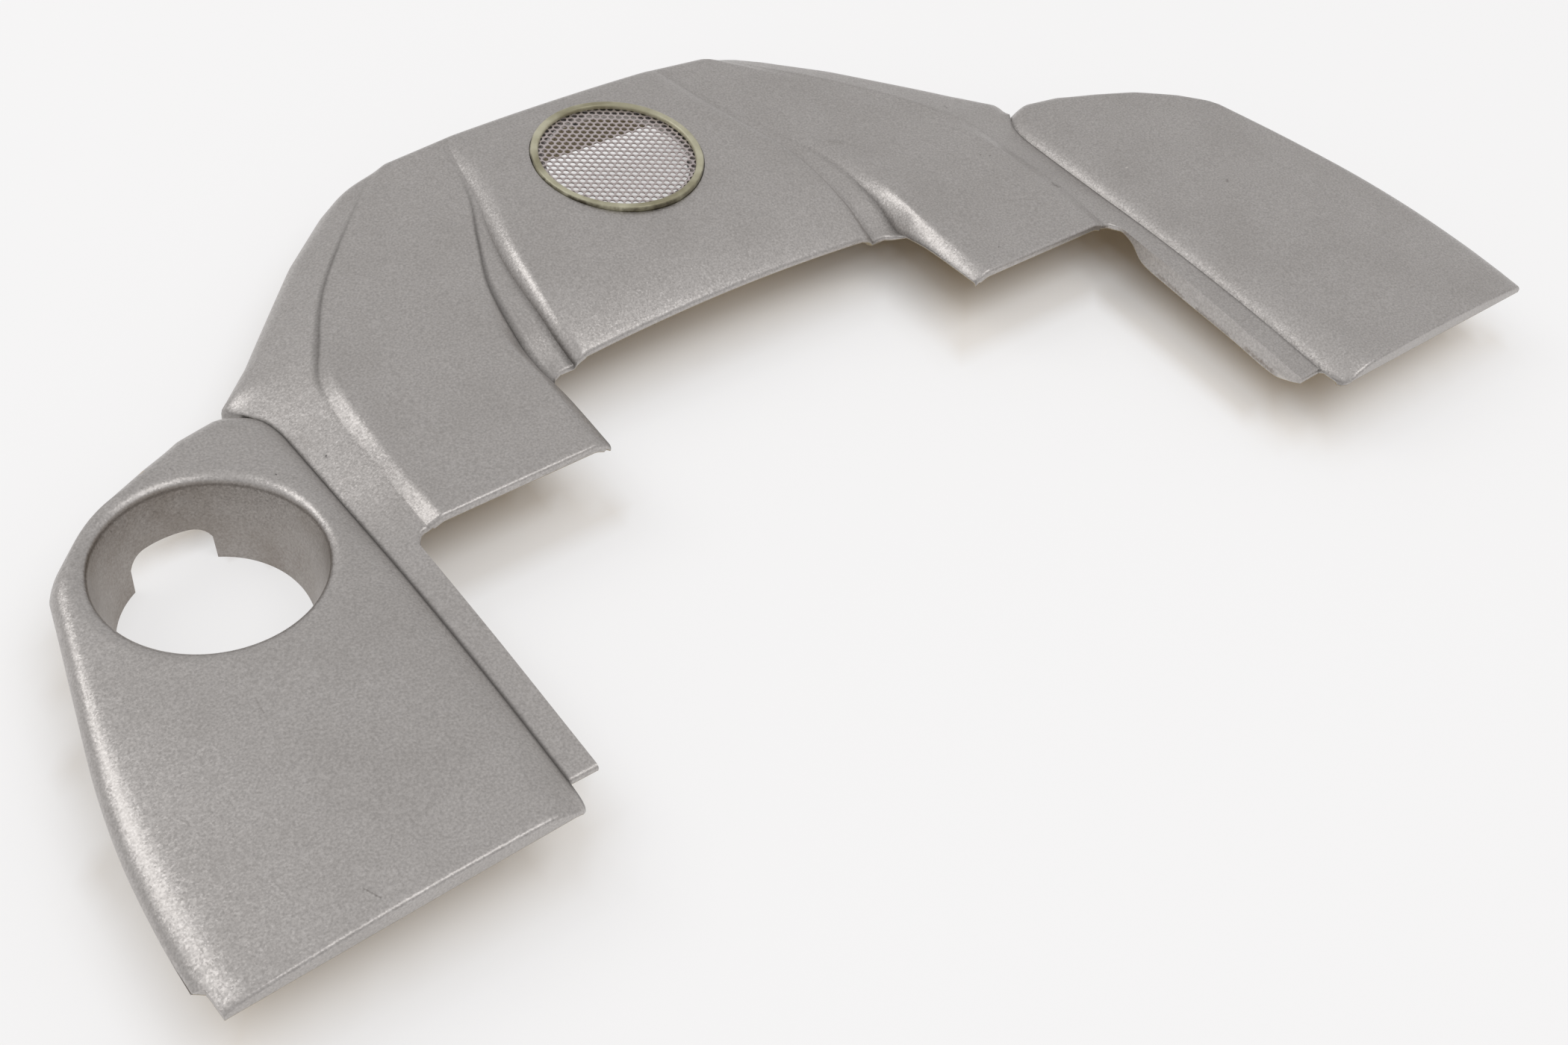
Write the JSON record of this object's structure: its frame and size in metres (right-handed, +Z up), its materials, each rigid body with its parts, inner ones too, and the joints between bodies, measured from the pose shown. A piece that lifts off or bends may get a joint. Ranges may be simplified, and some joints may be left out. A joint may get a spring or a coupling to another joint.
{
  "type": "engine cover",
  "caption": "Moulded cover that lies over a V engine, with five crowned panels, a round oil filler bowl, a mesh disc in a bezel ring and rubber ball mounts below.",
  "frame": {"origin": "centre of the bounding box in plan, on the floor below the rubber mounts", "axes": "+X across the engine towards the plain outer panel, +Y towards the rear edge, +Z up"},
  "size_m": [0.7498, 0.36, 0.0562],
  "materials": {
    "cover_shell": "glass-filled moulding, sprayed fine silver grey on the outside and bare beige inside",
    "badge_ring": "yellowed clear-coated ring, soiled round its edge",
    "mesh_disc": "perforated sheet, dull silver",
    "ring_clips": "spring steel",
    "rubber_mounts": "black moulded rubber"
  },
  "bodies": {
    "root": {"cover_shell": "cover_shell", "badge_ring": "badge_ring", "mesh_disc": "mesh_disc", "ring_clips": "ring_clips", "rubber_mounts": "rubber_mounts"}
  },
  "joints": []
}
